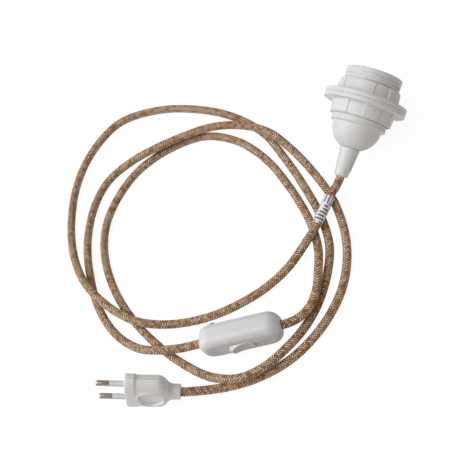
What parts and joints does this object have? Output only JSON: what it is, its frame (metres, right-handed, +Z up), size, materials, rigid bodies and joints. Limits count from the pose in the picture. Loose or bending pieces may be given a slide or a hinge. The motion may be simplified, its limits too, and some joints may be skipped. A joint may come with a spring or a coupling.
{
  "type": "pendant cord set",
  "caption": "Pendant cord set lying in loose loops: a screw-shell lampholder with two shade rings, braided cord, inline rocker switch and flat two-pin plug",
  "frame": {"origin": "on the table, under the middle of the lampholder", "axes": "+Z up, +Y the way the lampholder's mouth points, +X to its right seen from behind the mouth"},
  "size_m": [0.2414, 0.2817, 0.0561],
  "materials": {
    "white_plastic": "semi-gloss moulded",
    "grey_plastic": "matte moulded",
    "ceramic_block": "matte ceramic-like thermoset",
    "brass": "drawn sheet",
    "nickel": "bright nickel plating",
    "steel": "zinc-plated",
    "cord_textile": "braided textile",
    "label_paper": "printed foil",
    "core_brown": "matte",
    "core_blue": "matte"
  },
  "bodies": {
    "root": {"centre_contact": "brass", "clamp_screw_in_a": "steel", "clamp_screw_in_b": "steel", "clamp_screw_out_a": "steel", "clamp_screw_out_b": "steel", "common_terminal": "brass", "cord_clamp_in": "grey_plastic", "cord_clamp_out": "grey_plastic", "cord_grip": "white_plastic", "cord_holder_to_switch": "cord_textile", "cord_label": "label_paper", "cord_switch_to_plug": "cord_textile", "fixed_contact": "brass", "grip_locknut": "grey_plastic", "holder_cap": "white_plastic", "holder_core_live": "core_brown", "holder_core_neutral": "core_blue", "holder_screw_live": "steel", "holder_screw_neutral": "steel", "holder_skirt": "white_plastic", "holder_terminal_live": "brass", "holder_terminal_neutral": "brass", "lamp_thread_shell": "brass", "pin_sleeve_live": "grey_plastic", "pin_sleeve_neutral": "grey_plastic", "plug_clamp_screw_a": "steel", "plug_clamp_screw_b": "steel", "plug_cord_clamp": "grey_plastic", "plug_core_live": "core_brown", "plug_core_neutral": "core_blue", "plug_housing_screw": "steel", "plug_pin_live": "nickel", "plug_pin_neutral": "nickel", "plug_sheath": "cord_textile", "plug_shell_back": "white_plastic", "plug_shell_front": "white_plastic", "plug_terminal_screw_live": "steel", "plug_terminal_screw_neutral": "steel", "switch_base": "white_plastic", "switch_core_live_in": "core_brown", "switch_core_live_out": "core_brown", "switch_core_neutral": "core_blue", "switch_cover": "white_plastic", "switch_housing_screw_1": "steel", "switch_housing_screw_2": "steel", "switch_sheath_in": "cord_textile", "switch_sheath_out": "cord_textile", "switch_terminal_screw_in": "steel", "switch_terminal_screw_out": "steel", "terminal_block": "ceramic_block"},
    "ring_lower": {"shade_ring_lower": "white_plastic"},
    "ring_upper": {"shade_ring_upper": "white_plastic"},
    "rocker": {"switch_rocker": "white_plastic", "rocker_spring": "steel", "rocker_plunger": "grey_plastic"},
    "seesaw": {"contact_seesaw": "brass"}
  },
  "joints": [
    {"name": "lower_ring_travel", "type": "slide", "parent": "root", "child": "ring_lower", "axis": [0, 0.9426, 0.3338], "range_m": [0, 0.003]},
    {"name": "upper_ring_travel", "type": "slide", "parent": "ring_lower", "child": "ring_upper", "axis": [0, 0.9426, 0.3338], "range_m": [0, 0.003]},
    {"name": "rocker_tilt", "type": "hinge", "parent": "root", "child": "rocker", "pos_m": [-0.0136, -0.16852, 0.01252], "axis": [0.0808, -0.1133, -0.9903], "range_deg": [0, 20]},
    {"name": "seesaw_tilt", "type": "hinge", "parent": "root", "child": "seesaw", "pos_m": [-0.01671, -0.16417, 0.01177], "axis": [-0.0808, 0.1133, 0.9903], "range_deg": [0, 14]}
  ],
  "couplings": [
    {"joint": "seesaw_tilt", "follows": "rocker_tilt", "ratio": 0.7}
  ]
}
